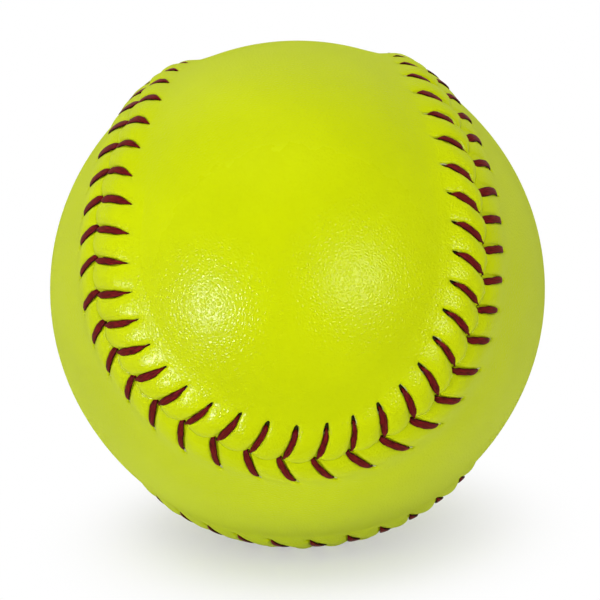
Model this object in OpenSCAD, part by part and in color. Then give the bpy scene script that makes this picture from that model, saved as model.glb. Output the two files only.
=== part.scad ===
// A softball with a moulded core and a sewn cover. The cover is two equal
// figure-eight panels of synthetic leather that wrap the core and meet at
// one closed seam. Two waxed threads sew the seam at the same time: each
// rises through a punched hole of one panel, lies over that panel's margin,
// dives at the seam, runs under the other panel and rises through its hole.
// The two limbs that meet at each seam point make the herringbone.
// The seam runs on the sphere as
//   latitude  = reach * sin(2t)
//   longitude = t - sway * sin(4t)
// and is tilted so that one lobe faces the front (-Y) and leans upward.
// The origin is the ball's centre and +Z is up.

/* [Ball] */
// Diameter of the smooth cover between the seams
ball_d = 97; // [60:0.5:130]
// Thickness of one cover panel
cover_t = 1.8; // [1.2:0.1:2.6]
// Thickness of the cement film between the core and the cover
cement_t = 0.2; // [0.1:0.05:0.4]

/* [Seam] */
// How far each lobe reaches past the pattern's waist, in degrees
seam_reach_deg = 65; // [55:0.5:70]
// How much the seam sways to widen the lobes, in degrees
seam_sway_deg = 21.4; // [14:0.2:24]
// How far the pattern leans back from the front, in degrees
seam_tilt_deg = 40; // [0:1:90]
// Stitch points round the whole seam
stitches = 88; // [72:4:104]

/* [Margin] */
// Height of the puckers over the smooth cover
pucker_h = 1.7; // [0.8:0.1:2.2]
// Height of the needle grooves' floor over the smooth cover
groove_h = 0.8; // [0.5:0.05:1]
// How far the margin's underside is lifted for the threads
tunnel_h = 1.2; // [1:0.05:1.4]
// Distance of the punched holes from the seam
hole_dist = 6.6; // [5.5:0.1:7.5]
// Diameter of a punched hole
hole_d = 1.2; // [1.1:0.05:1.5]
// How far each hole lies ahead of its seam point
hole_lead = 2.5; // [0:0.1:3]
// Half the slit that the threads pass at a seam point
slit_half = 0.5; // [0.4:0.05:0.7]
// Half the clearance between the two panels' lips
lip_gap_half = 0.06; // [0.02:0.01:0.15]

/* [Thread] */
// Width of a limb where it lies over the margin
thread_w = 1.3; // [0.9:0.05:1.4]
// Width of the thread where it is drawn through a hole
thread_neck_w = 0.8; // [0.6:0.05:0.95]
// Thickness of the flattened thread
thread_t = 0.42; // [0.3:0.02:0.5]
// Clearance between the two threads where they pass the seam
thread_gap = 0.12; // [0.05:0.01:0.25]
// How deep a limb beds into the groove's floor
thread_bed = 0.03; // [0:0.01:0.08]

/* [Hidden] */
$fn = 96;

ball_r = ball_d / 2;
inner_r = ball_r - cover_t;
core_r = inner_r - cement_t;
tunnel_r = inner_r + tunnel_h;

// Room past a surface for cuts, as a share of the cover's thickness
cut_share = 1;
cut_over = cover_t * cut_share;

// The seam line: steps of its arc length table
seam_steps = 720;

function seam_dir(t) =
    let (lat = seam_reach_deg * sin(2 * t),
         lon = t - seam_sway_deg * sin(4 * t))
    [cos(lat) * cos(lon), cos(lat) * sin(lon), sin(lat)];

// Running length of the seam on the unit sphere, as pairs of length and t
seam_run = [
    for (i = 0, a = 0; i <= seam_steps;
         i = i + 1,
         a = a + norm(seam_dir(i * 360 / seam_steps)
                      - seam_dir((i - 1) * 360 / seam_steps)))
        [a, i * 360 / seam_steps]];
seam_len = seam_run[seam_steps][0];

// One stitch pitch, as a length on the smooth cover
pitch = ball_r * seam_len / stitches;

function wrap(a, m) = a - m * floor(a / m);
function unit(v) = v / norm(v);

// Seam parameter at a distance s along the smooth cover
function seam_t(s) = lookup(wrap(s / ball_r, seam_len), seam_run);

// Step for the seam's direction, in degrees
tangent_step_deg = 0.5;

// A point s along the seam, v to its side and h over the smooth cover.
// A positive v is the first panel's side.
function on_ball(s, v, h) =
    let (t = seam_t(s),
         p = seam_dir(t),
         q = unit(seam_dir(t + tangent_step_deg) - seam_dir(t - tangent_step_deg)),
         n = cross(p, q),
         a = v / ball_r * 180 / PI)
    (unit(p) * cos(a) + unit(n) * sin(a)) * (ball_r + h);

// Seam points lie half a pitch off the pattern's planes of symmetry
function stitch_s(k) = (k + 0.5) * pitch;

// Lines across the margin lean ahead as the limbs do
function lean(v) = hole_lead * abs(v) / hole_dist;

// The margin's form: rows across a panel's margin, as shares of the hole distance
row_shares = [0, 0.12, 0.4, 0.76, 1.24];
sunk_share = 1.65;
sunk_h = cover_t / 2;

// Where the limb bends over the margin and where it enters the seam
crown_share = 0.55;
entry_share = 0.05;

// Heights of a limb's underside along its way over the margin
entry_floor_share = 0.3;
mouth_floor_share = 0.45;
fade_floor_share = 0.15;
limb_floor = [
    [-hole_dist, groove_h * entry_floor_share],
    [hole_dist * entry_share, groove_h * entry_floor_share],
    [hole_dist * crown_share, groove_h],
    [hole_dist, groove_h * mouth_floor_share],
    [hole_dist * row_shares[4], groove_h * fade_floor_share]];
function floor_h(v) = lookup(v, limb_floor);

// Heights of the puckers' backs on the rows, as shares of their full height
pucker_shares = [0, 0.76, 1, 0.9, 0.3];

// The lip's lower edge under the smooth cover's level
lip_drop_share = 0.12;
lip_drop = cover_t * lip_drop_share;

// Columns of one pitch: the groove's two edges, then the pucker's two
wide_shares = [-0.17, 0.17, 0.36, 0.64];
back_shares = [-0.13, 0.13, 0.34, 0.66];
cols = stitches * len(wide_shares);

function is_groove(c) = c < 2;
function row_v(r, c) =
    r > 0 ? hole_dist * row_shares[r] : is_groove(c) ? slit_half : lip_gap_half;
function row_h(r, c) =
    r == 0 ? -lip_drop
    : is_groove(c) ? floor_h(row_v(r, c))
    : pucker_h * pucker_shares[r];
function row_s(r, j) =
    let (k = floor(j / 4),
         c = j - 4 * k)
    stitch_s(k) + lean(row_v(r, c)) + pitch * (r < 2 ? wide_shares[c] : back_shares[c]);
function row_point(r, j) =
    let (c = j - 4 * floor(j / 4))
    on_ball(row_s(r, j), row_v(r, c), row_h(r, c));
function loop_point(k, share, h) =
    let (v = hole_dist * share)
    on_ball(stitch_s(k) + lean(v), v, h);

// The margin: puckered rows on top, one cone of flat walls down the lips and
// one down inside, both ending on the pattern's axis below the cover
inner_tip_share = 0.1;
module margin_body() {
    rows = len(row_shares);
    top = [for (r = [0 : rows - 1]) for (j = [0 : cols - 1]) row_point(r, j)];
    sunk = [for (k = [0 : stitches - 1]) loop_point(k, sunk_share, -sunk_h)];
    tips = [[0, 0, 0], [0, 0, ball_r * inner_tip_share]];
    q0 = rows * cols;
    tip = q0 + stitches;
    last = (rows - 1) * cols;
    polyhedron(
        points = concat(top, sunk, tips),
        faces = concat(
            [for (r = [0 : rows - 2]) for (j = [0 : cols - 1])
                let (n = (j + 1) % cols, a = r * cols, b = a + cols)
                each [[a + j, b + j, b + n], [a + j, b + n, a + n]]],
            [for (k = [0 : stitches - 1])
                let (a = last + 4 * k, e = last + (4 * k + 4) % cols,
                     q = q0 + k, p = q0 + (k + 1) % stitches)
                each [[a, q, a + 1], [a + 1, q, a + 2], [a + 2, q, p],
                      [a + 2, p, a + 3], [a + 3, p, e], [q, tip + 1, p]]],
            [for (j = [0 : cols - 1]) [tip, j, (j + 1) % cols]]),
        convexity = 8);
}

// A cone through a line beside the seam, closed far above the ball, which
// keeps the part of the ball that lies inside the line
cone_reach_share = 3;
cone_tip_share = 20;
module inside_line(share) {
    ring = [for (k = [0 : stitches - 1])
        unit(loop_point(k, share, 0)) * ball_r * cone_reach_share];
    polyhedron(
        points = concat(ring, [[0, 0, 0], [0, 0, ball_r * cone_tip_share]]),
        faces = [for (k = [0 : stitches - 1])
            let (n = (k + 1) % stitches)
            each [[stitches, k, n], [k, stitches + 1, n]]],
        convexity = 6);
}

// Turns the Z axis to point along v
module aim(v) {
    rotate([0, acos(v[2] / norm(v)), atan2(v[1], v[0])])
        children();
}

module punched_holes() {
    for (k = [0 : stitches - 1])
        aim(loop_point(k, 1, 0))
            translate([0, 0, inner_r - cut_over])
                cylinder(d = hole_d, h = cover_t + pucker_h + 2 * cut_over, $fn = 24);
}

// The patch starts under the puckers' outer slope
patch_share = 1.2;
module panel() {
    difference() {
        union() {
            difference() {
                margin_body();
                sphere(r = tunnel_r);
            }
            difference() {
                intersection() {
                    sphere(r = ball_r);
                    inside_line(patch_share);
                }
                sphere(r = inner_r);
            }
        }
        punched_holes();
    }
}

// The threads: height of their middle under a panel, clear of the film
// although the run is straight and the ball is round
run_len = norm([pitch - hole_lead, hole_dist]);
run_sag = run_len * run_len / (8 * inner_r);
run_h = -cover_t + thread_t / 2 + run_sag + thread_bed;
pass_half = (thread_neck_w + thread_gap) / 2;

// How far from the seam a thread goes down its slit and comes to lie below
pass_side_share = 0.6;
pass_side = slit_half * pass_side_share;

// A place on the thread, for one side of the seam
function at(k, side, s, v, h) = on_ball(stitch_s(k) + s, side * v, h);
function limb_h(v) = floor_h(v) + thread_t / 2 - thread_bed;

// Five places per stitch: below the hole, at its mouth, at the crown of the
// margin, over the seam and below the seam on the other panel's side
function stitch_places(k, side) = [
    at(k, side, hole_lead, hole_dist, run_h),
    at(k, side, hole_lead, hole_dist, limb_h(hole_dist)),
    at(k, side, lean(hole_dist * crown_share), hole_dist * crown_share, limb_h(hole_dist * crown_share)),
    at(k, side, side * pass_half, pass_side, limb_h(hole_dist * entry_share)),
    at(k, side, side * pass_half, -pass_side, run_h)];

function thread_side(k, first) = (k + first) % 2 == 0 ? 1 : -1;
function thread_way(first) = [
    for (i = [0 : stitches - 1])
        let (k = stitches - 1 - i)
        each stitch_places(k, thread_side(k, first))];

// Widths go with the five places
ring_w = [thread_neck_w, thread_neck_w, thread_w, thread_neck_w, thread_neck_w];

// The part of v that lies level on the ball at p
function level(v, p) = unit(v - unit(p) * (v * unit(p)));

// The flat section turns with the way. Going up a hole or down the seam it
// faces along the way over the margin, elsewhere it faces the core. A bend's
// corner is mitred. Each stitch starts with the section turned over, because
// the way comes back toward the seam.
function ring(p, before, after, w, flip) =
    let (up = unit(p),
         way = level(w == 0 || w == 3 ? p - before : w == 2 ? after - before : after - p, p),
         wide = cross(up, way) * (w == 0 ? -flip : flip),
         thick = flip * (w == 0 ? up - way : w == 1 ? way - up : w == 2 ? -up : -up - way))
    [for (c = [[1, 1], [1, -1], [-1, -1], [-1, 1]])
        p + wide * c[0] * ring_w[w] / 2 + thick * c[1] * thread_t / 2];

module thread(first) {
    way = thread_way(first);
    n = len(way);
    polyhedron(
        points = [for (i = [0 : n - 1])
            each ring(way[i], way[(i + n - 1) % n], way[(i + 1) % n], i % 5,
                      floor(i / 5) % 2 == 0 ? 1 : -1)],
        faces = [for (i = [0 : n - 1]) for (c = [0 : 3])
            let (a = 4 * i, b = 4 * ((i + 1) % n), d = (c + 1) % 4)
            each [[a + c, b + c, b + d], [a + c, b + d, a + d]]],
        convexity = 10);
}

// The lobes lie between the pattern's axes, so a turn brings one to the front
lobe_turn_deg = -45;
module placed() {
    rotate([-seam_tilt_deg, 0, 0])
        rotate([0, 0, lobe_turn_deg])
            children();
}

// Moulded polyurethane core
module core() {
    color([0.83, 0.78, 0.62])
        sphere(r = core_r);
}

// Latex cement that bonds the cover to the core
module cement_film() {
    color([0.93, 0.9, 0.78])
        difference() {
            sphere(r = inner_r);
            sphere(r = core_r);
        }
}

// Panel with its lobes at the front and the back
module cover_panel_front() {
    color([0.8, 0.88, 0.05])
        placed()
            panel();
}

// The same panel a quarter turn round the pattern's axis and turned over
module cover_panel_side() {
    color([0.77, 0.85, 0.08])
        placed()
            rotate([0, 0, 90])
                mirror([0, 0, 1])
                    panel();
}

// Thread of the first needle
module thread_first() {
    color([0.45, 0.09, 0.13])
        placed()
            thread(0);
}

// Thread of the second needle
module thread_second() {
    color([0.5, 0.1, 0.14])
        placed()
            thread(1);
}

core();
cement_film();
cover_panel_front();
cover_panel_side();
thread_first();
thread_second();
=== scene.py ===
"""A softball on a pale floor.

Two puckered figure-eight panels and two waxed threads take the place of the
CAD's panels and threads. The core and the cement film stay inside.
"""
import math

import bpy
import numpy as np
from mathutils import Matrix, Vector


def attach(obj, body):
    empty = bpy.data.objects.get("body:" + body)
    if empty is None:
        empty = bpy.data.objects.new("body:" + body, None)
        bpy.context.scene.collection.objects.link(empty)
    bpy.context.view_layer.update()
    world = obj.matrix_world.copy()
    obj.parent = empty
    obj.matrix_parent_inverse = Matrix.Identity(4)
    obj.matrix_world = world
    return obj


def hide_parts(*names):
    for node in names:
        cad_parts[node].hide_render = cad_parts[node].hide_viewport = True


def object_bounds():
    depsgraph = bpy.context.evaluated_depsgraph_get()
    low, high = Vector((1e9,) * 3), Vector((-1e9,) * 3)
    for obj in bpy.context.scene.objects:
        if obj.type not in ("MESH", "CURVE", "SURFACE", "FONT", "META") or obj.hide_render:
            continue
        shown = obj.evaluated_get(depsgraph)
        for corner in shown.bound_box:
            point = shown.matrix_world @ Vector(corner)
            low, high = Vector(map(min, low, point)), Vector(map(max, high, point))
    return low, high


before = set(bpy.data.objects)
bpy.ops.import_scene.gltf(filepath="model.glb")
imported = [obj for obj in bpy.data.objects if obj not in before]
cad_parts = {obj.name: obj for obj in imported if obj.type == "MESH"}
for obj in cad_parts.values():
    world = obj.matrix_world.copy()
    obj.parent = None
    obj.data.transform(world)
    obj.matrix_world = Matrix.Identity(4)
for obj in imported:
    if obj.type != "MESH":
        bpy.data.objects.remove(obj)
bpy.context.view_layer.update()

# Lengths are in millimetres up to the meshes, which are in metres
MM = 0.001

# The ball and its seam, as in the CAD
BALL_R = 48.5
COVER_T = 1.8
STITCHES = 88
SEAM_REACH = math.radians(65.0)
SEAM_SWAY = math.radians(21.4)
SEAM_TILT = math.radians(-40.0)
LOBE_TURN = math.radians(-45.0)
# The height of the margins' lifted underside over the smooth cover
TUNNEL_AT = 1.2 - COVER_T

# Where the tip of the front lobe is, in stitches
LOBE_TIP = 76.5
SEED = 12


# The seam

RUN_STEPS = 14400
TANGENT_STEP = 1e-3


def seam_dir(t):
    """Directions from the ball's middle to the seam, for its parameter."""
    lat = SEAM_REACH * np.sin(2 * t)
    lon = t - SEAM_SWAY * np.sin(4 * t)
    return np.stack([np.cos(lat) * np.cos(lon), np.cos(lat) * np.sin(lon), np.sin(lat)], -1)


RUN_T = np.linspace(0, 2 * math.pi, RUN_STEPS + 1)
RUN_S = np.concatenate([[0], np.cumsum(np.linalg.norm(np.diff(seam_dir(RUN_T), axis=0), axis=1))])
SEAM_LEN = RUN_S[-1]
PITCH = BALL_R * SEAM_LEN / STITCHES


def unit(v):
    return v / np.linalg.norm(v, axis=-1, keepdims=True)


def smooth(low, high, x):
    """0 below low, 1 above high and a smooth step between."""
    x = np.clip((x - low) / (high - low), 0, 1)
    return x * x * (3 - 2 * x)


def knots(x, table):
    """A smooth curve through a table of places and values."""
    kx = np.array([k[0] for k in table], float)
    ky = np.array([k[1] for k in table], float)
    d = np.diff(ky) / np.diff(kx)
    m = np.zeros(len(kx))
    inner = d[1:] * d[:-1] > 0
    m[1:-1] = np.where(inner, 2 * d[1:] * d[:-1] / np.where(inner, d[1:] + d[:-1], 1), 0)
    i = np.clip(np.searchsorted(kx, x) - 1, 0, len(kx) - 2)
    w = kx[i + 1] - kx[i]
    a = np.clip((x - kx[i]) / w, 0, 1)
    return (ky[i] * (1 + 2 * a) * (1 - a) ** 2 + m[i] * w * a * (1 - a) ** 2
            + ky[i + 1] * a * a * (3 - 2 * a) + m[i + 1] * w * a * a * (a - 1))


def seam_t(s):
    """The seam's parameter at a length along it."""
    return np.interp(np.mod(s / BALL_R, SEAM_LEN), RUN_S, RUN_T)


def on_ball(s, n, h):
    """The point s along the seam, n to the first panel's side and h over the smooth cover."""
    t = seam_t(s)
    p = seam_dir(t)
    q = unit(seam_dir(t + TANGENT_STEP) - seam_dir(t - TANGENT_STEP))
    side = np.cross(p, q)
    a = (n / BALL_R)[..., None]
    return unit(p * np.cos(a) + unit(side) * np.sin(a)) * (BALL_R + h)[..., None]


# The panels' necks stand a little proud between the two runs of the seam
NECK_SWELL = 0.35
NECK_FROM = math.cos(math.radians(60.0))
NECK_FULL = math.cos(math.radians(15.0))


def placed(p):
    """From the seam pattern's frame to the ball's, in metres."""
    r = np.linalg.norm(p, axis=-1, keepdims=True)
    p = p * (1 + NECK_SWELL / BALL_R * smooth(NECK_FROM, NECK_FULL, np.abs(p[..., 2:]) / r))
    turn = Matrix.Rotation(SEAM_TILT, 3, "X") @ Matrix.Rotation(LOBE_TURN, 3, "Z")
    return p @ np.array(turn).T * MM


# How hand sewing strays from the even pattern, in millimetres by stitches from
# the lobe's tip: along the seam and to its side, for the seam point and for
# the holes of both panels
SEAM_ALONG = [(-17, 1.5), (-14.5, 1.7), (-13, 1.2), (-12, .8), (-10.5, .2), (-9.5, -.1), (-8.5, .2),
              (-6.2, -.8), (-3.5, -.6), (-1.5, 0), (.5, .1), (3.5, .8), (5.5, .3), (6.5, .4),
              (8.5, -.2), (11.5, -.9), (13, -.2), (14.5, -.8), (15.5, -.3), (17, -.3)]
SEAM_ASIDE = [(-17, -.1), (-14, .3), (-9.5, .2), (-8, -.3), (-5.5, .2), (-2.5, .7), (-.5, .6),
              (1, -.2), (4.3, -1.1), (5.5, 0), (7, .5), (11.5, .8), (12.5, 0), (14, -.6), (18, .1)]
FIRST_ALONG = [(-17, 3), (-14.5, 3.6), (-13.5, 3), (-12.5, 2.9), (-10, 2.4), (-5, 2.3), (-3, 2.7),
               (-1.5, 2.6), (.5, 4.4), (2, 3.3), (4.5, 2.5), (6, 3.1), (9, 3.6), (12, 2.8), (14, 2.1),
               (16.5, 1.4), (18, 1.4)]
FIRST_ASIDE = [(-17.5, 5), (-16.5, 5.4), (-15.5, 6.4), (-12.7, 6.7), (-11.5, 8.3), (-8, 7.8),
               (-6.5, 7.4), (-3.5, 7.2), (-2.3, 7.9), (-.5, 7.4), (1, 6.3), (2.5, 5.9), (4.5, 6.6),
               (6.5, 7.7), (10.5, 7.5), (13, 6.6), (15, 6.4), (16.5, 5.6), (18, 5.2)]
SECOND_ALONG = [(-16, 0), (-14.5, .8), (-12.5, 2.8), (-11.5, 2.9), (-9.5, 2.4), (-7.5, 2.2),
                (-5.5, 1.2), (-3.5, 1.6), (-1.3, 3.1), (.5, 2.6), (3, 4.3), (5.5, 3.1), (8, .9),
                (11, -1.2), (13, -2.1), (15, -1.5), (18, 2.5)]
SECOND_ASIDE = [(-16, -7), (-13.5, -6.5), (-12, -5.8), (-9.5, -5.6), (-8, -6.1), (-5.5, -5.5),
                (-3.5, -6.1), (-1.5, -5.4), (1.5, -6.9), (2.5, -7.4), (4.5, -7), (7.5, -5.5),
                (9.5, -5.6), (12, -6.5), (15, -7), (18, -6.6)]
# How far a limb bows along the seam between its ends
FIRST_BOW = [(-17, -.45), (-13, -.4), (-10, .1), (-7, .4), (0, .4), (13, .5), (18, .4)]
SECOND_BOW = [(-17, -.3), (5, -.3), (8, -.1), (12, .05), (15, .3), (18, .2)]
EVEN_BOW = {1: 0.35, -1: -0.3}
# How wide a limb of the first panel starts, as a share of its full width, and
# how much of its way stays down in the fold
FIRST_START = [(-18, .36), (3, .36), (6, .12), (18, .1)]
FIRST_HIDDEN = [(-18, .02), (4, .02), (6, .08), (18, .1)]
# How far the second panel's limbs start behind their seam points
SECOND_START = [(-18, .3), (6, .3), (7.5, .4), (8.5, .75), (10.5, .7), (11.5, 1.4), (12.5, 1.7),
                (13.5, 2), (16, 1.8), (18, .3)]
# Where a limb of the first panel starts to taper, as a share of its way
FIRST_TAPER = [(-18, .72), (-12, .68), (-8, .56), (6, .56), (10, .66), (14, .7), (18, .6)]
# A factor on a limb's width
FIRST_WIDE = [(-18, 1.15), (-12, 1.1), (-9, 1), (-3, .98), (-1.5, .86), (-.5, .8), (.5, .82),
              (1.5, .78), (2.5, .94), (5, .96), (7, 1), (12, 1.2), (15, 1.25), (18, 1)]
SECOND_WIDE = [(-18, 1.35), (-12, 1.2), (-9, 1), (7, 1), (10, 1.12), (13, 1.3), (18, 1.1)]
# Half a limb's width where it goes down
FIRST_END = [(-17, .12), (-10, .2), (-3, .28), (-1.6, .5), (-.4, .5), (.6, .26), (6, .3), (14, .2),
             (18, .12)]
SECOND_END = [(-17, .1), (7, .14), (9, .5), (14, .5), (17, .2), (18, .15)]
# Where a limb of the first panel goes down, as a share of the way to its hole
FIRST_TIP = [(-18, .95), (-11, .93), (-9.6, .87), (-8.6, .85), (-3, .85), (-1.6, .81), (1.6, .8),
             (3, .83), (8, .83), (18, .86)]
# A factor on the height of the second panel's puckers
SECOND_PUCKER = [(-18, 1), (7, 1), (11, .5), (18, .5)]
# How far touching puckers hide the start of the limbs under them
CLOSED_OVER = [(-18, 0), (9.3, 0), (10.5, .3), (11.5, .3), (12.5, .5), (13.5, .6), (14.5, 1), (16, 1),
               (18, .4)]
# Which panel's puckers lie over the seam: 1 the first's, -1 the second's
LIES_OVER = [(-18, .8), (-10, .9), (-7, 1), (0, 1), (18, 1)]

# The even pattern, which the rest of the seam keeps: how far a hole lies ahead
# of its seam point and to its side, and what stands there for the tables
EVEN_LEAD = 2.5
EVEN_HOLE = 6.7
EVEN_CLOSED = 0.1
EVEN_START = 0.3
EVEN_HIDDEN = 0.02
EVEN_END = 0.12
EVEN_TIP = 0.85
EVEN_TAPER = 0.62
# How much farther from the seam the holes of the panel that lies over it are
LOBE_HOLE_MORE = 0.5
# How sharply the puckers that lie over the seam change sides between two lobes
LOBE_SHARP = 2.2

# The photograph shows the seam this many stitches from the lobe's tip, and
# the seam is even past the second number
SEEN_TO = 17
EVEN_PAST = 21


def from_tip(k):
    """Stitches from the lobe's tip, positive to the right of it."""
    half = STITCHES / 2
    return np.mod(k - LOBE_TIP + half, STITCHES) - half


def stray(k, table, even):
    """A table's value on the seam that the photograph shows, and the even one behind."""
    seen = 1 - smooth(SEEN_TO, EVEN_PAST, np.abs(from_tip(k)))
    return even * (1 - seen) + knots(from_tip(k), table) * seen


def seam_s(k):
    return (k + 0.5) * PITCH


def bow(k, side, share):
    most = stray(k, FIRST_BOW if side > 0 else SECOND_BOW, EVEN_BOW[side])
    return most * np.sin(math.pi * np.clip(share, 0, 1))


def closed_over(k):
    """How far, in millimetres, touching puckers hide the start of the limbs under them."""
    return stray(k, CLOSED_OVER, EVEN_CLOSED)


# The way from a seam point through its hole, straightened into the even
# pattern past the hole
EVEN_FROM = 1.12
EVEN_BY = 1.75


def margin_place(k, side, share):
    """The place along the seam and to its side, for a share of the way to a hole."""
    ss, sn = seam_point(k)
    hs, hn = hole_point(k, side)
    s = ss + (hs - ss) * share + bow(k, side, share)
    n = sn + (hn - sn) * share
    even = smooth(EVEN_FROM, EVEN_BY, share)
    return s + (seam_s(k) + EVEN_LEAD * share - s) * even, n + (side * EVEN_HOLE * share - n) * even


def lobe(k):
    """1 where the first panel's lobe lies over the seam's curve, -1 where the second's does."""
    even = np.tanh(-LOBE_SHARP * np.sin(2 * seam_t(seam_s(k)))) / math.tanh(LOBE_SHARP)
    return stray(k, LIES_OVER, even)


# The seam's far bend, which shows along the bottom, comes a little nearer, and
# its limbs and puckers are fuller. It is full past the second number of
# stitches from the lobe's tip.
FAR_FROM = 28
FAR_FULL = 40
FAR_BEND = -1.8
FAR_MORE = 0.5
FAR_PUCKER = 0.3
FAR_ARCH = 0.25


def far_bend(k):
    return smooth(FAR_FROM, FAR_FULL, np.abs(from_tip(k)))


def far_aside(k):
    return FAR_BEND * far_bend(k)


def seam_point(k):
    return seam_s(k) + stray(k, SEAM_ALONG, 0), stray(k, SEAM_ASIDE, far_aside(k))


def hole_point(k, side):
    along, aside = (FIRST_ALONG, FIRST_ASIDE) if side > 0 else (SECOND_ALONG, SECOND_ASIDE)
    even_n = side * (EVEN_HOLE + LOBE_HOLE_MORE * side * lobe(k)) + far_aside(k)
    return seam_s(k) + stray(k, along, EVEN_LEAD), stray(k, aside, even_n)


# Small differences from pucker to pucker and from limb to limb
VARIES = 0.05
rng = np.random.default_rng(SEED)
PUCKER_VARY = {1: rng.normal(0, VARIES, STITCHES), -1: rng.normal(0, VARIES, STITCHES)}
LIMB_VARY = {1: rng.normal(0, VARIES, STITCHES), -1: rng.normal(0, VARIES, STITCHES)}
# How much of the pale backing shows round each needle slit: mostly little on
# the first panel, and much on the second
BACKING = {1: 0.8 * rng.random(STITCHES) ** 2, -1: 0.7 + 0.3 * rng.random(STITCHES)}


# The cover

# A margin is laid out by k, the stitch, and by the share of the way from the
# seam to the holes. The lip takes the first share, and more where it lies
# under the other panel's. That one slopes in, as a step that starts before it.
LIP_SHARE = 0.26
UNDER_LIP_MORE = 0.1
UNDER_LIP_FROM = -0.35
LIP_STEPS = 7
# The rows past the lip are close together at the needle slits
MARGIN_SHARES = [.31, .36, .42, .5, .58, .66, .73, .79, .84, .875, .905, .935, .965, .995, 1.025, 1.06,
                 1.1, 1.16, 1.23, 1.32, 1.42, 1.53, 1.65, 1.78]
# Steps across half a limb's bed and over each half of a pucker
EDGE_STEPS = 3
BACK_STEPS = 6

# Half a limb's width along its way, and the power of its taper
LIMB_HALF = [(0, .66), (.3, .7), (.62, .66), (1, .6)]
TAPER_POWER = 1.9
# A limb comes out pointed from under a lobe's lip: the share of its width
# there, where it is full, and what touching puckers change of both
NARROW_START = 0.36
CLOSED_NARROWER = 0.2
SHUT_FROM = 0.02
SHUT_TO = 0.2
CLOSED_LONGER = 0.28
# On the panel under the lip it starts blunt: its share, and where it is full
BLUNT_START = 0.7
BLUNT_MORE = 0.3
BLUNT_TO = 0.16

# A needle slit: how far it runs on past the limb's end, as a share of the
# limb's way, and half its width there, in millimetres
FIRST_SLIT = [(-18, .08), (-11, .1), (-9.6, .16), (-3, .17), (-1.6, .21), (1.6, .23), (3, .2), (8, .19),
              (18, .15)]
FIRST_OPEN = [(-18, .14), (-9.6, .18), (-6.5, .22), (-5.5, .32), (-3, .38), (-1.6, .66), (-.4, .66),
              (.6, .58), (8, .56), (13, .32), (18, .14)]
EVEN_SLIT = 0.18
EVEN_OPEN = 0.3
SECOND_SLIT = 0.15
SECOND_OPEN = 0.36
SECOND_PALE = 0.38
SECOND_TIP = 0.92
SLIT_DEEP = 0.8
# How far under the limb's end a slit starts, and where its sides, its start
# and its point are soft
SLIT_UNDER = 0.03
SLIT_SIDES = (0.7, 1.1)
SLIT_STARTS = 0.05
SLIT_POINT = 0.9
# Keeps a width that is divided by from being nothing
LEAST = 1e-6


def limb_tip(k, side):
    return stray(k, FIRST_TIP, EVEN_TIP) if side > 0 else SECOND_TIP + 0 * np.asarray(k)


def limb_half(side, k, share):
    """Half the width of a limb, in millimetres, from the seam (0) to its hole (1)."""
    first = side > 0
    closed = np.minimum(closed_over(k), 1)
    full = knots(share, LIMB_HALF)
    narrow = stray(k, FIRST_START, NARROW_START) if first else NARROW_START - CLOSED_NARROWER * closed
    shut = smooth(SHUT_FROM, SHUT_TO + CLOSED_LONGER * closed, share)
    pointed = full * (narrow + (1 - narrow) * shut)
    blunt = full * (BLUNT_START + BLUNT_MORE * smooth(0, BLUNT_TO, share))
    over = (side * lobe(k) + 1) / 2
    end = stray(k, FIRST_END if first else SECOND_END, EVEN_END)
    taper = stray(k, FIRST_TAPER, EVEN_TAPER) if first else EVEN_TAPER
    tip = np.clip((share - taper) / (limb_tip(k, side) - taper), 0, 1) ** TAPER_POWER
    wide = stray(k, FIRST_WIDE if first else SECOND_WIDE, 1 + FAR_MORE * far_bend(k))
    return (blunt + (pointed - blunt) * over) * (1 - tip) * wide + end * tip


# The groove that a limb lies in: its room beside the limb, half its width at
# the needle slit and where it reaches that, and where it closes past the hole
BED_ROOM = 0.02
BED_LIMB_TO = 0.95
BED_SLIT = 0.42
BED_OPENS = (0.7, 0.8)
BED_CLOSES = (1.02, 1.3)
BED_CLOSED = 0.75


def bed_half(side, k, share):
    """Half the width of the groove that a limb lies in."""
    lies = limb_half(side, k, np.minimum(share, BED_LIMB_TO)) + BED_ROOM
    opened = BED_SLIT * smooth(*BED_OPENS, share)
    return np.maximum(lies, opened) * (1 - BED_CLOSED * smooth(*BED_CLOSES, share))


def column_places():
    """Columns of one pitch: over the bed, over the pucker and over the next bed."""
    bed = [("bed", a / EDGE_STEPS) for a in range(0, EDGE_STEPS + 1)]
    back = [("back", math.pi * a / (2 * BACK_STEPS)) for a in range(1, 2 * BACK_STEPS)]
    far = [("far", -a / EDGE_STEPS) for a in range(EDGE_STEPS, 0, -1)]
    return bed + back + far


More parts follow.
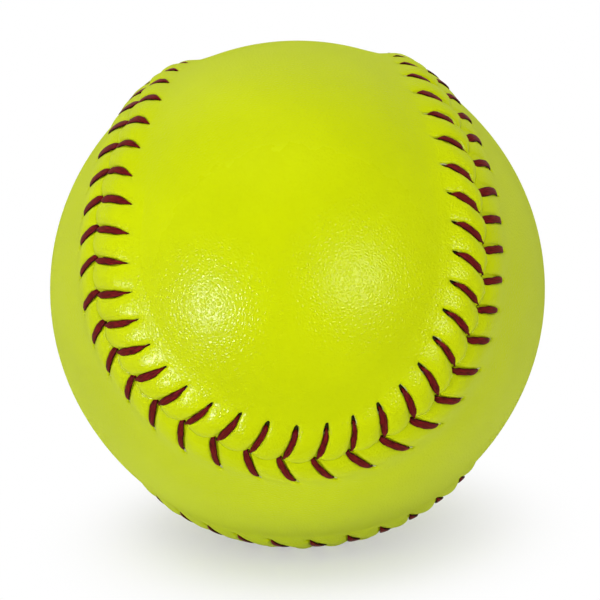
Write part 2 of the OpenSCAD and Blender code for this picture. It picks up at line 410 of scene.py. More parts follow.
def margin_grid(side):
    """One panel's puckered margin: its points in rows, and how far each is inside a slit."""
    places = column_places()
    per = len(places)
    k = np.repeat(np.arange(STITCHES), per).astype(float)
    kind = np.tile([p[0] for p in places], STITCHES)
    value = np.tile([p[1] for p in places], STITCHES).astype(float)
    under = (1 - side * lobe(k)) / 2
    lip_share = LIP_SHARE + UNDER_LIP_MORE * under
    first, last = MARGIN_SHARES[0], MARGIN_SHARES[-1]
    rows, pits = [], []
    for i in range(LIP_STEPS + len(MARGIN_SHARES)):
        # The upper lip is round, and the one under it slopes in
        line = min(i / (LIP_STEPS - 1), 1)
        angle = math.pi / 2 * line
        lip = math.sin(angle) * (1 - under) + smooth(UNDER_LIP_FROM, 1, line) * under
        if i < LIP_STEPS:
            share = lip_share * ((1 - math.cos(angle)) * (1 - under) + line * under)
        else:
            share = MARGIN_SHARES[i - LIP_STEPS]
            share = share + (lip_share - LIP_SHARE) * (last - share) / (last - first)
        here = bed_half(side, k, share) / PITCH
        after = bed_half(side, k + 1, share) / PITCH
        # The columns are close together at a pucker's flanks
        x = 0.5 - 0.5 * np.cos(value)
        over_pucker = here + (1 - here - after) * x
        u = np.where(kind == "bed", value * here, np.where(kind == "back", over_pucker, 1 + value * after))
        back = np.where(kind == "back", np.sin(value), 0.0)
        rise, pit = margin_height(side, k, u, back, share, lip)
        s, n = margin_place(k + u, side, share)
        n = n + crease_shift(side, k, u) * (1 - np.clip(share, 0, 1))
        rows.append(on_ball(s, n, rise))
        pits.append(pit)
    return np.array(rows), np.array(pits), k, per


# How far a lobe's puckers bulge over the seam, the clearance of the lips, how
# far they part where the threads pass and over how much of a pitch
LOBE_BULGE = 0.7
LIP_CLEAR = 0.01
LIPS_PART = 0.28
LIPS_PART_WIDE = 0.1


def crease_shift(side, k, u):
    """The lobe's puckers bulge over the seam, and the lips part where the threads pass."""
    q = lobe(k + u)
    near = np.minimum(u, 1 - u)
    closed = closed_over(k + u) * np.abs(q)
    bulge = -(LOBE_BULGE * np.sin(math.pi * u) ** 2 + closed) * q
    slit = LIP_CLEAR + LIPS_PART * np.exp(-(near / LIPS_PART_WIDE) ** 2) * np.maximum(1 - closed, 0)
    return bulge + side * slit


# Heights over the smooth cover: of the grooves, of the puckers over them and
# of the crease between the lips. A lobe that lies over the seam has more of
# the first two, and its margin ends sooner.
MARGIN_LIFT = 0.95
LOBE_LIFT_MORE = 0.05
LIFT_ENDS = (0.45, 1.72)
LOBE_LIFT_SOONER = (0.05, 0.12)
PUCKER_H = 0.74
LOBE_PUCKER_MORE = 0.22
PUCKER_ENDS = (0.6, 1.4)
LOBE_PUCKER_SOONER = (0.12, 0.24)
CREASE_H = 0.68
CREASE_DIP = 0.3
CREASE_DIP_WIDE = 0.12
CREASE_BACK = 0.22
# The thread draws the cover in where it goes down: how deep, where on its way
# and over what share of it, and over what width in millimetres
PULL_H = 0.15
PULL_AT = 0.97
PULL_LONG = 0.13
PULL_WIDE = 0.8


def ends(span, sooner, over, share):
    """Falls from 1 to 0 over a span of shares, which a lobe shortens."""
    return 1 - smooth(span[0] - sooner[0] * over, span[1] - sooner[1] * over, share)


def margin_lift(own, share):
    """How high the limbs' grooves lie over the smooth cover."""
    return MARGIN_LIFT * (1 + LOBE_LIFT_MORE * own) * ends(LIFT_ENDS, LOBE_LIFT_SOONER, (own + 1) / 2, share)


def pulled_in(share, across):
    return PULL_H * np.exp(-((share - PULL_AT) / PULL_LONG) ** 2 - (across / PULL_WIDE) ** 2)


def margin_height(side, k, u, back, share, lip):
    """Heights over the smooth cover, and how much of a needle slit each place has: the leather paints it
    pale, and deeper in near black as painted shade.
    """
    at = k + u
    near = np.minimum(u, 1 - u)
    own = side * lobe(at)
    vary = PUCKER_VARY[side][k.astype(int) % STITCHES]
    body = ends(PUCKER_ENDS, LOBE_PUCKER_SOONER, (own + 1) / 2, share)
    height = PUCKER_H * (1 + LOBE_PUCKER_MORE * own + vary + FAR_PUCKER * far_bend(at)) * body
    if side < 0:
        height = height * stray(at, SECOND_PUCKER, 1)
    top = margin_lift(own, share) + height * back
    crease = CREASE_H - CREASE_DIP * np.exp(-(near / CREASE_DIP_WIDE) ** 2) + CREASE_BACK * back
    rise = crease + (top - crease) * lip - pulled_in(share, near * PITCH)
    inside = in_slit(side, k + np.round(u), near * PITCH, share)
    # The slit's share is what the leather paints pale and, on the first panel, near black as painted shade
    return rise - SLIT_DEEP * inside, inside * (1 if side > 0 else SECOND_PALE)


def in_slit(side, k, across, share):
    """1 inside a needle slit, which runs from under the limb's end to a rounded point."""
    start = limb_tip(k, side) - SLIT_UNDER
    first = side > 0
    runs = SLIT_UNDER + (stray(k, FIRST_SLIT, EVEN_SLIT) if first else SECOND_SLIT)
    opened = stray(k, FIRST_OPEN, EVEN_OPEN) if first else SECOND_OPEN
    past = np.clip((share - start) / runs, 0, 1)
    half = opened * np.sqrt(1 - past ** 2) + LEAST
    beside = 1 - smooth(*SLIT_SIDES, across / half)
    return beside * smooth(start - SLIT_STARTS, start, share) * (1 - smooth(SLIT_POINT, 1, past))


def zip_loops(a_at, b_at, a0, b0):
    """Triangles between two closed loops of points, by their places along the seam."""
    na, nb = len(a_at), len(b_at)
    faces = []
    i = j = 0
    while i < na or j < nb:
        next_a = a_at[i + 1] if i + 1 < na else a_at[0] + STITCHES
        next_b = b_at[j + 1] if j + 1 < nb else b_at[0] + STITCHES
        if j >= nb or (i < na and next_a <= next_b):
            faces.append((a0 + i % na, b0 + j % nb, a0 + (i + 1) % na))
            i += 1
        else:
            faces.append((a0 + i % na, b0 + j % nb, b0 + (j + 1) % nb))
            j += 1
    return faces


# A panel past its margin: points of a coarse ring per stitch, steps across the
# panel outside and inside, and how much these bunch toward its edges
COARSE = 4
OUTER_STEPS = 44
INNER_STEPS = 14
SPAN_BUNCH = 0.11
# Where the coarse rings are, as shares of the even holes' distance
OUTER_RING = 1.9
TUNNEL_RING = 1.2
FILM_RING = 1.3


def ladder(ring, side, lead, steps, flip):
    """Fills a panel with points on arcs between facing points of its coarse ring."""
    count = len(ring)
    tip = LOBE_TIP - (0 if side > 0 else STITCHES / 4) - lead / PITCH
    start = int(round(tip * COARSE - 0.5))
    half = count // 2
    left = [(start + 1 + i) % count for i in range(half)]
    right = [(start - i) % count for i in range(half)]
    points, index = [], []
    for a, b in zip(left, right):
        pa, pb = ring[a], ring[b]
        ra, rb = np.linalg.norm(pa), np.linalg.norm(pb)
        angle = math.acos(float(np.clip(np.dot(pa / ra, pb / rb), -1, 1)))
        line = [a]
        for j in range(1, steps):
            f = j / steps
            f = f - SPAN_BUNCH * math.sin(2 * math.pi * f)
            p = (math.sin((1 - f) * angle) * pa / ra + math.sin(f * angle) * pb / rb) / math.sin(angle)
            line.append(count + len(points))
            points.append(p / np.linalg.norm(p) * (ra + (rb - ra) * f))
        line.append(b)
        index.append(line)
    faces = []
    for lower, upper in zip(index[:-1], index[1:]):
        faces += [(lower[j], lower[j + 1], upper[j + 1], upper[j]) for j in range(steps)]
    # The rungs' ends close on the ring's own short edges
    for line in (index[0], index[-1]):
        mid = line[1:-1]
        fan = [(line[0], mid[i], mid[i + 1]) for i in range(len(mid) - 1)] + [(line[0], mid[-1], line[-1])]
        faces += fan if line is index[-1] else [f[::-1] for f in fan]
    if flip:
        faces = [f[::-1] for f in faces]
    return np.array(points), faces


def ring_places():
    return np.arange(STITCHES * COARSE) / COARSE


def coarse_ring(side, share, h):
    """A loop along the seam at a share of the even holes' distance."""
    at = ring_places()
    aside = np.full(at.shape, side * (EVEN_HOLE * share))
    return on_ball(seam_s(at) + EVEN_LEAD * share, aside, np.full(at.shape, h))


def panel_mesh(side):
    """One panel: its points, its faces and each point's slit and backing."""
    rows, pits, k, per = margin_grid(side)
    count = rows.shape[1]
    places = np.repeat(np.arange(STITCHES), per) + np.tile(np.arange(per) / per, STITCHES)
    points = [rows.reshape(-1, 3)]
    pit = [pits.reshape(-1)]
    pale = [np.tile(BACKING[side][k.astype(int)], len(rows))]
    total = rows.shape[0] * count
    faces = []
    for r in range(len(rows) - 1):
        a, b = r * count, (r + 1) * count
        faces += [(a + j, a + (j + 1) % count, b + (j + 1) % count, b + j) for j in range(count)]

    def add(p):
        nonlocal total
        points.append(p)
        pit.append(np.zeros(len(p)))
        pale.append(np.zeros(len(p)))
        total += len(p)
        return total - len(p)

    def span(ring, ring0, share, steps, flip):
        """Adds the faces across the panel inside a coarse ring."""
        inner, across = ladder(ring, side, EVEN_LEAD * share, steps, flip)
        inner0 = add(inner)
        n = len(ring)
        return [tuple(ring0 + i if i < n else inner0 + i - n for i in f) for f in across]

    # Outside, from the margin's last row to a coarse ring and across the panel
    at = ring_places()
    n = len(at)
    ring = coarse_ring(side, OUTER_RING, 0.0)
    ring0 = add(ring)
    faces += [f[::-1] for f in zip_loops(places, at, (len(rows) - 1) * count, ring0)]
    faces += span(ring, ring0, OUTER_RING, OUTER_STEPS, True)
    # Inside: down the lip, along the lifted margin, down to the film and across
    ss, sn = seam_point(at)
    lip_n = sn + crease_shift(side, np.floor(at), at - np.floor(at))
    last = add(on_ball(ss, lip_n, np.full(at.shape, TUNNEL_AT)))
    faces += zip_loops(places, at, 0, last)
    for share, h in ((TUNNEL_RING, TUNNEL_AT), (FILM_RING, -COVER_T)):
        ring = coarse_ring(side, share, h)
        ring0 = add(ring)
        faces += [(last + j, ring0 + j, ring0 + (j + 1) % n, last + (j + 1) % n) for j in range(n)]
        last = ring0
    faces += span(ring, ring0, FILM_RING, INNER_STEPS, False)
    if side < 0:
        faces = [f[::-1] for f in faces]
    return placed(np.concatenate(points)), faces, np.concatenate(pit), np.concatenate(pale)


def make_object(name, points, faces, material):
    mesh = bpy.data.meshes.new(name)
    mesh.from_pydata(points.tolist(), [], faces)
    mesh.validate()
    mesh.update()
    mesh.polygons.foreach_set("use_smooth", [True] * len(mesh.polygons))
    mesh.materials.append(material)
    made = bpy.data.objects.new(name, mesh)
    bpy.context.scene.collection.objects.link(made)
    return made


def point_values(made, name, values):
    layer = made.data.attributes.new(name, "FLOAT", "POINT")
    layer.data.foreach_set("value", np.asarray(values, np.float32))


# The threads

THREAD_T = 0.42
# Corners of a thread's section, the power that makes it flat, and how ragged
# its width is, as a share
SECTION = 12
FLATNESS = 0.75
RAGGED = 0.05
# Places along a limb, as shares of the way to its end
LIMB_STEPS = [1, .95, .88, .79, .7, .6, .5, .39, .28, .18, .1, .03]
# How far past the limb's end the thread goes down, then the dive from below:
# how much farther on, the height and half the width
DIVE_PAST = 0.02
HOLE_DIVE = [(0.01, 0.45 - COVER_T, 0.2), (0, -0.6, 0.16)]
# The dive at the seam: height, how far past the seam point, and the share of
# the limb's width there
SEAM_DIVE = [(-0.3, 0.28, 0.75), (-1.25, 0.5, 0.6)]
SEAM_WIDTH = 0.95
# The run under the other panel: places as shares of its way, height and half width
RUN_SHARES = (0.35, 0.75)
RUN_H = 0.42 - COVER_T
RUN_HALF = 0.4
# A limb of the panel that lies over the seam starts ahead of its seam point.
# The others start behind it, and how soon they come back to their line
# depends on how far.
STARTS_AHEAD = 0.42
FAR_BEHIND = 0.5
BACK_IN_LINE = 0.45
LATE_IN_LINE = 0.8
# A limb's height over its groove's floor at its middle
ARCH = 0.1
# How deep a limb starts in the fold, over a lobe's lip and under it, what
# touching puckers add, and over what share of its way it comes up
DEEP_OVER = 0.25
DEEP_UNDER = 0.2
CLOSED_DEEPER = 0.5
COMES_UP_OVER = 0.16
COMES_UP_UNDER = 0.32
# How far it goes down at its hole, and from where to where on its way
END_DEEP = 0.3
END_FROM = -0.1
END_TO = 0.02
# How far under the crease the two limbs cross, what a lobe adds and what
# touching puckers add
CROSS_UNDER = 0.15
LOBE_CROSS_MORE = 0.25
CLOSED_CROSS_MORE = 0.6


def limb_places(k, side):
    """One limb with its dives at both ends: places and half widths, from its hole to the seam."""
    here = np.array(float(k))
    own = float(side * lobe(here))
    over = (own + 1) / 2
    behind = EVEN_START if side > 0 else float(stray(here, SECOND_START, EVEN_START))
    aside = STARTS_AHEAD * over - behind * (1 - own) / 2
    in_line = BACK_IN_LINE if behind < FAR_BEHIND else LATE_IN_LINE
    closed = float(closed_over(here)) * abs(own)
    shut = min(closed, 1)
    reach = float(np.abs(hole_point(here, side)[1] - seam_point(here)[1]))
    end_share = float(limb_tip(here, side))
    hidden = closed / reach if own < 0 else float(stray(here, FIRST_HIDDEN, EVEN_HIDDEN))
    deep = DEEP_OVER + CLOSED_DEEPER * closed if own > 0 else DEEP_UNDER + CLOSED_DEEPER * shut
    comes_up = hidden + (COMES_UP_OVER if own > 0 else COMES_UP_UNDER)
    most_arch = ARCH + FAR_ARCH * float(far_bend(here))

    def at(share, h, past=0.0):
        lean = aside * (1 - float(smooth(0, in_line, share)))
        s, n = margin_place(here, side, share)
        return on_ball(s + lean, n + past, np.array(h))

    def half(share):
        return float(limb_half(side, here, np.array(float(share))))

    places = [(at(end_share + DIVE_PAST + past, h), wide) for past, h, wide in HOLE_DIVE]
    for step in LIMB_STEPS:
        share = step * end_share
        floor = float(margin_lift(own, share)) - float(pulled_in(share, 0))
        arch = most_arch * math.sin(math.pi * share)
        dip = deep * float(1 - smooth(hidden, comes_up, share))
        dip += END_DEEP * float(smooth(end_share + END_FROM, end_share + END_TO, share))
        wide = half(share) * (1 + LIMB_VARY[side][k % STITCHES])
        places.append((at(share, floor + THREAD_T / 2 + arch - dip), wide))
    crossing = CREASE_H - CROSS_UNDER - LOBE_CROSS_MORE * over - CLOSED_CROSS_MORE * shut
    places.append((at(0.0, crossing), half(0) * SEAM_WIDTH))
    places += [(at(0.0, h, -side * past), half(0) * wide) for h, past, wide in SEAM_DIVE]
    return places


def run_places(k, side):
    """The run under the other panel from a seam point to the next hole."""
    hs, hn = (float(v) for v in hole_point(np.array(float((k - 1) % STITCHES)), -side))
    ss, sn = (float(v) for v in seam_point(np.array(float(k))))
    if hs - ss > STITCHES * PITCH / 2:
        hs -= STITCHES * PITCH
    return [(on_ball(np.array(ss + (hs - ss) * f), np.array(sn + (hn - sn) * f), np.array(RUN_H)), RUN_HALF)
            for f in RUN_SHARES]


def section_sides(path):
    """For each place on a thread, the directions of its section's width and of its thickness."""
    count = len(path)
    per = count // STITCHES
    runs = len(RUN_SHARES)
    ahead = unit(np.roll(path, -1, 0) - path)
    behind = unit(path - np.roll(path, 1, 0))
    way = unit(ahead + behind)
    # The flat side faces out from the ball, so the width is level and lies
    # across the limb's line, or across the run's line below
    line = np.zeros_like(path)
    for i in range(STITCHES):
        a, b = i * per, (i + 1) * per
        line[a:b] = unit(path[a + len(HOLE_DIVE) + len(LIMB_STEPS) - 1] - path[a + len(HOLE_DIVE) + 1])
        line[b - runs:b] = unit(path[b % count] - path[b - runs - 1])
    wide = unit(np.cross(unit(path), line))
    # Keep each section's turn near the one before
    for i in range(1, count):
        if np.dot(wide[i], wide[i - 1]) < 0:
            wide[i] = -wide[i]
    return wide, unit(np.cross(wide, way))


def thread_mesh(first):
    """One closed thread: limbs on alternate sides, joined by runs under the panels."""
    places = []
    for i in range(STITCHES):
        k = STITCHES - 1 - i
        side = 1 if (k + first) % 2 == 0 else -1
        places += limb_places(k, side) + run_places(k, side)
    path = np.array([p for p, half in places])
    count = len(path)
    ragged = RAGGED * np.random.default_rng(SEED + first).standard_normal(count)
    halves = np.array([half for p, half in places]) * (1 + ragged)
    wide, thick = section_sides(path)
    angle = np.arange(SECTION) * 2 * math.pi / SECTION
    cx = np.sign(np.cos(angle)) * np.abs(np.cos(angle)) ** FLATNESS
    cy = np.sign(np.sin(angle)) * np.abs(np.sin(angle)) ** FLATNESS
    points = (path[:, None] + wide[:, None] * (halves[:, None] * cx)[..., None]
              + thick[:, None] * (THREAD_T / 2 * cy)[None, :, None])
    faces = []
    for i in range(count):
        a, b = i * SECTION, ((i + 1) % count) * SECTION
        # The last section meets the first one, which may lie the other way round
        turned = SECTION // 2 if np.dot(wide[i], wide[(i + 1) % count]) < 0 else 0
        faces += [(a + j, b + (j + turned) % SECTION, b + (j + 1 + turned) % SECTION, a + (j + 1) % SECTION)
                  for j in range(SECTION)]
    # For the looks: millimetres across and along the thread, and how near its edge, which is painted darker
    # as shade
    across = np.broadcast_to(halves[:, None] * cx, (count, SECTION)).reshape(-1)
    edge = np.broadcast_to(np.abs(cx), (count, SECTION)).reshape(-1)
    run = np.concatenate([[0], np.cumsum(np.linalg.norm(np.diff(path, axis=0), axis=1))])
    return placed(points.reshape(-1, 3)), faces, across, np.repeat(run, SECTION), edge


# The materials
def srgb(r, g, b):
    """A colour as Blender holds it, from its values out of 255 on the screen."""
    def one(c):
        c = c / 255
        return c / 12.92 if c <= 0.04045 else ((c + 0.055) / 1.055) ** 2.4
    return (one(r), one(g), one(b), 1.0)


def new_material(name):
    made = bpy.data.materials.new(name)
    made.use_nodes = True
    nodes = made.node_tree.nodes
    return made, nodes, made.node_tree.links, nodes["Principled BSDF"]


def math_node(nodes, links, operation, *values):
    """A calculation with outputs of other nodes and constants."""
    made = nodes.new("ShaderNodeMath")
    made.operation = operation
    for value, socket in zip(values, made.inputs):
        if isinstance(value, (int, float)):
            socket.default_value = value
        else:
            links.new(value, socket)
    return made


def noise_node(nodes, links, where, scale, detail):
    made = nodes.new("ShaderNodeTexNoise")
    made.inputs["Scale"].default_value = scale
    made.inputs["Detail"].default_value = detail
    links.new(where, made.inputs["Vector"])
    return made


def step_node(nodes, links, value, low, high):
    """0 below low and 1 above high."""
    made = nodes.new("ShaderNodeMapRange")
    made.interpolation_type = "SMOOTHSTEP"
    made.inputs["From Min"].default_value = low
    made.inputs["From Max"].default_value = high
    links.new(value, made.inputs["Value"])
    return made.outputs[0]


def ramp_node(nodes, links, value, low_at, low, high_at, high):
    """From one colour to another between two values."""
    made = nodes.new("ShaderNodeValToRGB")
    start, end = made.color_ramp.elements
    start.position, start.color = low_at, low
    end.position, end.color = high_at, high
    links.new(value, made.inputs["Fac"])
    return made.outputs["Color"]


def mix_node(nodes, links, share, below, colour):
    """The colour below with another mixed over it."""
    made = nodes.new("ShaderNodeMix")
    made.data_type = "RGBA"
    made.inputs["B"].default_value = colour
    links.new(share, made.inputs["Factor"])
    links.new(below, made.inputs["A"])
    return made.outputs["Result"]


def own_value(nodes, name):
    """A value that the mesh holds for each of its points."""
    made = nodes.new("ShaderNodeAttribute")
    made.attribute_name = name
    return made.outputs["Fac"]


def add_bump(nodes, links, height, strength, distance, shader):
    bump = nodes.new("ShaderNodeBump")
    bump.inputs["Strength"].default_value = strength
    bump.inputs["Distance"].default_value = distance
    links.new(height, bump.inputs["Height"])
    links.new(bump.outputs["Normal"], shader.inputs["Normal"])


# How far the pebbles' edges are bent, and how high the grain is, in metres
GRAIN_BEND = 0.0004
GRAIN_H = 0.000042
FINE_SHARE = 0.12
# The leather's colours: the cover, the pale backing and the needle slits' painted shade, near black
YELLOW_LOW = srgb(198, 213, 0)
YELLOW_HIGH = srgb(206, 221, 0)
PALE_BACKING = srgb(224, 220, 204)
SLIT_PAINTED_SHADE = srgb(14, 10, 11)


def pebble_grain(nodes, links, where):
    """Small flat-topped cells, bent by a slower noise, with a finer noise over them."""
    bend = noise_node(nodes, links, where, 800, 2)
    bent = nodes.new("ShaderNodeVectorMath")
    bent.operation = "MULTIPLY_ADD"
    bent.inputs[1].default_value = (GRAIN_BEND, GRAIN_BEND, GRAIN_BEND)
    links.new(bend.outputs["Color"], bent.inputs[0])
    links.new(where, bent.inputs[2])
    cells = nodes.new("ShaderNodeTexVoronoi")
    cells.feature = "DISTANCE_TO_EDGE"
    cells.inputs["Scale"].default_value = 1450
    links.new(bent.outputs[0], cells.inputs["Vector"])
    pebble = step_node(nodes, links, cells.outputs["Distance"], 0.0, 0.5)
    fine = noise_node(nodes, links, where, 2600, 2).outputs["Fac"]
    return math_node(nodes, links, "MULTIPLY_ADD", fine, FINE_SHARE, pebble).outputs[0]


def leather_gloss(nodes, links, where):
    """Roughness: even, a little broken up, and duller where seen edge on."""
    even = nodes.new("ShaderNodeMapRange")
    even.inputs["To Min"].default_value = 0.15
    even.inputs["To Max"].default_value = 0.21
    links.new(noise_node(nodes, links, where, 260, 3).outputs["Fac"], even.inputs["Value"])
    edge = nodes.new("ShaderNodeLayerWeight")
    edge.inputs["Blend"].default_value = 0.4
    dull = math_node(nodes, links, "MULTIPLY_ADD", edge.outputs["Facing"], 0.6, even.outputs[0])
    dull.use_clamp = True
    return dull.outputs[0]


def leather_material():
    made, nodes, links, skin = new_material("cover_leather")
    # Its gloss holds little of the surroundings' blue, and the glint lamps
    # give that back
    skin.inputs["Specular IOR Level"].default_value = 0.29
    skin.inputs["Specular Tint"].default_value = (1.0, 1.0, 0.12, 1.0)
    where = nodes.new("ShaderNodeTexCoord").outputs["Object"]
    add_bump(nodes, links, pebble_grain(nodes, links, where), 1.0, GRAIN_H, skin)
    links.new(leather_gloss(nodes, links, where), skin.inputs["Roughness"])
    # Colour: optic yellow with slow cloudy variation, and in each needle slit
    # its pale rim and, deeper in, painted shade near black for the hole's shade
    cloud = noise_node(nodes, links, where, 45, 3).outputs["Fac"]
    yellow = ramp_node(nodes, links, cloud, 0.3, YELLOW_LOW, 0.7, YELLOW_HIGH)
    pit = own_value(nodes, "pit")
    rim = step_node(nodes, links, pit, 0.1, 0.26)
    shown = math_node(nodes, links, "MULTIPLY", rim, own_value(nodes, "backing")).outputs[0]
    cloth = mix_node(nodes, links, shown, yellow, PALE_BACKING)
    # Painted shade: the slit's deeper part is painted near black, where the hole would be shaded
    deep = step_node(nodes, links, pit, 0.4, 0.7)
    links.new(mix_node(nodes, links, deep, cloth, SLIT_PAINTED_SHADE), skin.inputs["Base Color"])
    return made


# How often the threads' strands change, per millimetre across and along
STRANDS = (7.0, 0.7, 1.0)


def thread_material():
    made, nodes, links, fibre = new_material("waxed_thread")
    fibre.inputs["Roughness"].default_value = 0.5
    fibre.inputs["Specular IOR Level"].default_value = 0.08
    fibre.inputs["Specular Tint"].default_value = (1.0, 1.0, 0.2, 1.0)
    laid = nodes.new("ShaderNodeCombineXYZ")
    links.new(own_value(nodes, "across"), laid.inputs["X"])
    links.new(own_value(nodes, "down"), laid.inputs["Y"])
    drawn = nodes.new("ShaderNodeVectorMath")
    drawn.operation = "MULTIPLY"
    drawn.inputs[1].default_value = STRANDS
    links.new(laid.outputs[0], drawn.inputs[0])
    strands = noise_node(nodes, links, drawn.outputs[0], 1, 3).outputs["Fac"]
    red = ramp_node(nodes, links, strands, 0.36, srgb(62, 4, 7), 0.62, srgb(126, 21, 27))
    # Painted shade: the flat thread's edges are painted darker, as where its sides turn away into shade
    painted_edge_shade = step_node(nodes, links, own_value(nodes, "edge"), 0.7, 1.0)
    links.new(mix_node(nodes, links, painted_edge_shade, red, srgb(40, 2, 6)), fibre.inputs["Base Color"])
    add_bump(nodes, links, strands, 0.6, 0.0001, fibre)
    return made


def hidden_material(name, low, high, scale, rough):
    """The core's foam and the cement: sealed under the cover, with a fine mottle."""
    made, nodes, links, base = new_material(name)
    base.inputs["Roughness"].default_value = rough
    where = nodes.new("ShaderNodeTexCoord").outputs["Object"]
    mottle = noise_node(nodes, links, where, scale, 4).outputs["Fac"]
    links.new(ramp_node(nodes, links, mottle, 0.0, low, 1.0, high), base.inputs["Base Color"])
    add_bump(nodes, links, mottle, 0.4, 0.0001, base)
    return made


# The stage, the light and the camera

# The camera's place in ball radii, and the ball's place in the photograph
CAMERA_AT = (0.29323, -8.64654, 2.04243)
CAMERA_UP = (0.03751, 0.23093, 0.97225)
CAMERA_FAR = 8.8893
SILHOUETTE_PX = 247.5
CENTRE_PX = (297.5, 289.5)
FRAME_PX = 600
SENSOR_MM = 36
# Rays that see the floor as background get a little more white from it, and
# nothing but white from where the shadow has ended, in metres from its middle
FLOOR_HALF = 3.0
FLOOR_LIFT = 0.45
SHADOW_FROM = 0.01
SHADOW_TO = 0.06
FLOOR_PAPER = (0.93, 0.93, 0.93, 1)
# The world's strength for rays that don't see the background
WORLD_LEVEL = 0.25
# Lamps: where, from the ball's middle as right, up and toward the camera, in
# metres, how wide, and how strong
LAMPS = {
    "soft_left": ((-0.629, -0.12, 0.768), 0.18, 2.7),
    "soft_right": ((0.416, 0.08, 0.906), 0.36, 2.25),
    "soft_top": ((-0.25, 1.05, 0.6), 0.9, 6.6),
    "soft_back": ((0.1, 0.35, -1.1), 0.6, 5.5)}
# The two lamps in front show in the leather's gloss, in a colder light
GLINT_LAMPS = ("soft_left", "soft_right")
GLINT_COLOUR = (1.0, 1.0, 9.0)


def background_ray(nodes, links):
    """1 for rays that see the background itself: from the camera, a gloss or through glass."""
    path = nodes.new("ShaderNodeLightPath").outputs
    seen = math_node(nodes, links, "MAXIMUM", path["Is Camera Ray"], path["Is Glossy Ray"])
    return math_node(nodes, links, "MAXIMUM", seen.outputs[0], path["Is Transmission Ray"]).outputs[0]


def floor_material():
    """Pale paper that keeps the ball's shadow, and white for rays that see the background."""
    made, nodes, links, base = new_material("floor_paper")
    base.inputs["Base Color"].default_value = FLOOR_PAPER
    base.inputs["Roughness"].default_value = 0.9
    base.inputs["Specular IOR Level"].default_value = 0.1
    base.inputs["Specular Tint"].default_value = (1.0, 1.0, 0.2, 1.0)
    far = nodes.new("ShaderNodeVectorMath")
    far.operation = "LENGTH"
    links.new(nodes.new("ShaderNodeTexCoord").outputs["Object"], far.inputs[0])
    fade = nodes.new("ShaderNodeMapRange")
    fade.interpolation_type = "SMOOTHERSTEP"
    fade.inputs["From Min"].default_value = SHADOW_FROM
    fade.inputs["From Max"].default_value = SHADOW_TO
    fade.inputs["To Min"].default_value = FLOOR_LIFT
    links.new(far.outputs["Value"], fade.inputs["Value"])
    seen = math_node(nodes, links, "MULTIPLY", background_ray(nodes, links), fade.outputs[0])
    white = nodes.new("ShaderNodeEmission")
    mix = nodes.new("ShaderNodeMixShader")
    links.new(seen.outputs[0], mix.inputs[0])
    links.new(base.outputs[0], mix.inputs[1])
    links.new(white.outputs[0], mix.inputs[2])
    links.new(mix.outputs[0], nodes["Material Output"].inputs["Surface"])
    return made


def build_stage():
    mesh = bpy.data.meshes.new("floor")
    corners = [(x * FLOOR_HALF, y * FLOOR_HALF, 0) for x, y in ((-1, -1), (1, -1), (1, 1), (-1, 1))]
    mesh.from_pydata(corners, [], [(0, 1, 2, 3)])
    floor = bpy.data.objects.new("floor", mesh)
    floor.location.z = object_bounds()[0][2]
    bpy.context.scene.collection.objects.link(floor)
    mesh.materials.append(floor_material())


def add_lamp(name, place, size, power):
    lamp = bpy.data.lights.new(name, "AREA")
    lamp.shape = "DISK"
    lamp.size = size
    lamp.energy = power
    made = bpy.data.objects.new(name, lamp)
    made.location = place
    made.rotation_euler = (-place).to_track_quat("-Z", "Y").to_euler()
    bpy.context.scene.collection.objects.link(made)
    return made


def build_light():
    world = bpy.data.worlds.new("studio")
    world.use_nodes = True
    nodes, links = world.node_tree.nodes, world.node_tree.links
    sky = nodes["Background"]
    sky.inputs["Color"].default_value = (1, 1, 1, 1)
    level = nodes.new("ShaderNodeMapRange")
    level.inputs["To Min"].default_value = WORLD_LEVEL
    level.inputs["To Max"].default_value = 1.0
    links.new(background_ray(nodes, links), level.inputs["Value"])
    links.new(level.outputs[0], sky.inputs["Strength"])
    bpy.context.scene.world = world
    right, up, back = camera_axes()
    for name, (at, size, power) in LAMPS.items():
        place = right * at[0] + up * at[1] + back * at[2]
        add_lamp(name, place, size, power).visible_glossy = False
        if name in GLINT_LAMPS:
            glint = add_lamp(name + "_glint", place, size, power)
            glint.data.color = GLINT_COLOUR
            glint.visible_diffuse = False


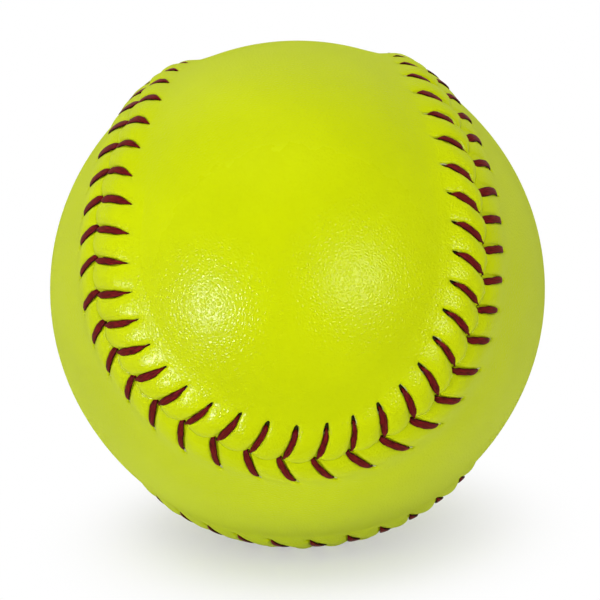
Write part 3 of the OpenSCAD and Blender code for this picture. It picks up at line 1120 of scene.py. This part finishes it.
def camera_axes():
    back = Vector(CAMERA_AT).normalized()
    right = Vector(CAMERA_UP).cross(back).normalized()
    return right, back.cross(right), back


def build_camera():
    data = bpy.data.cameras.new("camera")
    made = bpy.data.objects.new("camera", data)
    at = Vector(CAMERA_AT) * BALL_R * MM
    turn = Matrix(camera_axes()).transposed()
    made.matrix_world = Matrix.Translation(at) @ turn.to_4x4()
    focal_px = SILHOUETTE_PX * math.sqrt(CAMERA_FAR ** 2 - 1)
    data.sensor_width = SENSOR_MM
    data.lens = SENSOR_MM * focal_px / FRAME_PX
    data.shift_x = (FRAME_PX / 2 - CENTRE_PX[0]) / FRAME_PX
    data.shift_y = (CENTRE_PX[1] - FRAME_PX / 2) / FRAME_PX
    data.clip_start = 0.01
    bpy.context.scene.collection.objects.link(made)
    bpy.context.scene.camera = made


# The scene
def build_cover():
    leather = leather_material()
    for name, side, node in (("cover_front", 1, "cover_panel_front"), ("cover_side", -1, "cover_panel_side")):
        points, faces, pit, pale = panel_mesh(side)
        made = make_object(name, points, faces, leather)
        point_values(made, "pit", pit)
        point_values(made, "backing", pale)
        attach(made, "root")
        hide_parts(node)


def build_threads():
    waxed = thread_material()
    for name, first, node in (("thread_a", 0, "thread_first"), ("thread_b", 1, "thread_second")):
        points, faces, across, down, edge = thread_mesh(first)
        made = make_object(name, points, faces, waxed)
        point_values(made, "across", across)
        point_values(made, "down", down)
        point_values(made, "edge", edge)
        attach(made, "root")
        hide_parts(node)


def finish_inside():
    looks = {
        "core": hidden_material("core_foam", srgb(205, 192, 150), srgb(226, 214, 176), 300, 0.8),
        "cement_film": hidden_material("cement_latex", srgb(226, 218, 190), srgb(243, 237, 214), 500, 0.6)}
    for name, look in looks.items():
        node = bpy.data.objects[name]
        for slot in node.material_slots:
            slot.material = look
        if not node.material_slots:
            node.data.materials.append(look)


build_cover()
build_threads()
finish_inside()
build_stage()
build_light()
build_camera()
bpy.context.scene.view_settings.view_transform = "Standard"
bpy.context.view_layer.update()
